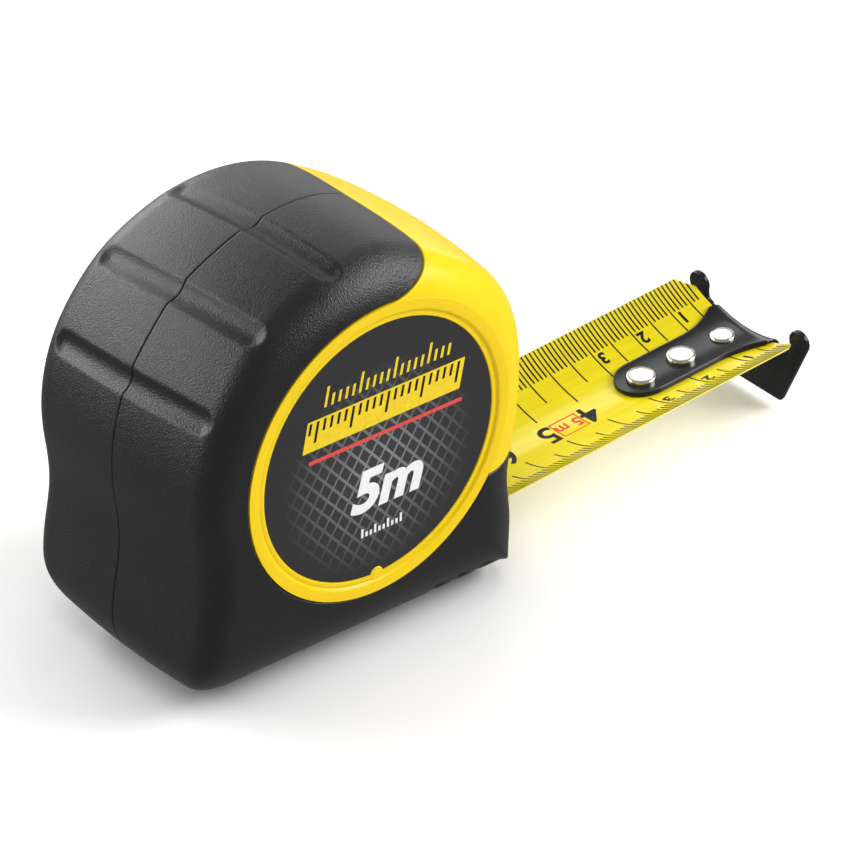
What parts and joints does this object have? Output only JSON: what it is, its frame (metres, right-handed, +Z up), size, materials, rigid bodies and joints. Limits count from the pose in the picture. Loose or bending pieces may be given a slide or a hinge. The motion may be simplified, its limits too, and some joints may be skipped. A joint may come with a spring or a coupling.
{
  "type": "pocket tape measure",
  "caption": "Compact tape measure with a spring-rewound curved steel blade, riveted end hook, thumb lock, rubber-covered case split along the middle and rear belt clip",
  "frame": {"origin": "on the flat base plane, directly under the spool axle, half way between the two case sides", "axes": "+X along the blade towards the hook, +Y towards the belt clip side, +Z up from the base"},
  "size_m": [0.1514, 0.0594, 0.0799],
  "materials": {
    "yellow_plastic": "moulded, semi-gloss",
    "black_rubber": "fine moulded grain, matte",
    "label_film": "printed film, satin",
    "blade_lacquer": "glossy lacquer over spring steel",
    "spring_steel": "bright rolled strip",
    "zinc_steel": "zinc plated",
    "nickel": "polished nickel plate",
    "black_paint": "semi-gloss black enamel",
    "grey_nylon": "moulded, satin",
    "black_plastic": "moulded, satin"
  },
  "bodies": {
    "case": {"shell_right": "yellow_plastic", "shell_left": "yellow_plastic", "grip_right": "black_rubber", "grip_left": "black_rubber", "label_right": "label_film", "label_left": "label_film", "case_screw_1": "zinc_steel", "case_screw_2": "zinc_steel", "case_screw_3": "zinc_steel", "case_screw_4": "zinc_steel", "mouth_bumper": "black_rubber", "spring_post": "grey_nylon", "power_spring": "spring_steel", "blade_lead": "blade_lacquer", "belt_clip": "spring_steel", "belt_clip_screw": "zinc_steel"},
    "reel": {"spool_drum": "grey_nylon", "blade_coil": "blade_lacquer"},
    "blade": {"blade_strip": "blade_lacquer", "hook_rivet_1": "nickel", "hook_rivet_2": "nickel", "hook_rivet_3": "nickel"},
    "hook": {"end_hook": "black_paint"},
    "lock": {"lock_button": "black_plastic", "lock_pad": "black_rubber"}
  },
  "joints": [
    {"name": "blade_slide", "type": "slide", "parent": "case", "child": "blade", "axis": [0.9976, 0, 0.0698], "range_m": [-0.068, 0]},
    {"name": "hook_slide", "type": "slide", "parent": "blade", "child": "hook", "axis": [0.9976, 0, 0.0698], "range_m": [-0.0006, 0.0006]},
    {"name": "reel_spin", "type": "hinge", "parent": "case", "child": "reel", "pos_m": [0, 0, 0.043], "axis": [0, 1, 0], "range_deg": [0, 151]},
    {"name": "lock_slide", "type": "slide", "parent": "case", "child": "lock", "axis": [0, 0, 1], "range_m": [0, 0.005]}
  ],
  "couplings": [
    {"joint": "reel_spin", "follows": "blade_slide", "rad_per_m": -38.462}
  ]
}
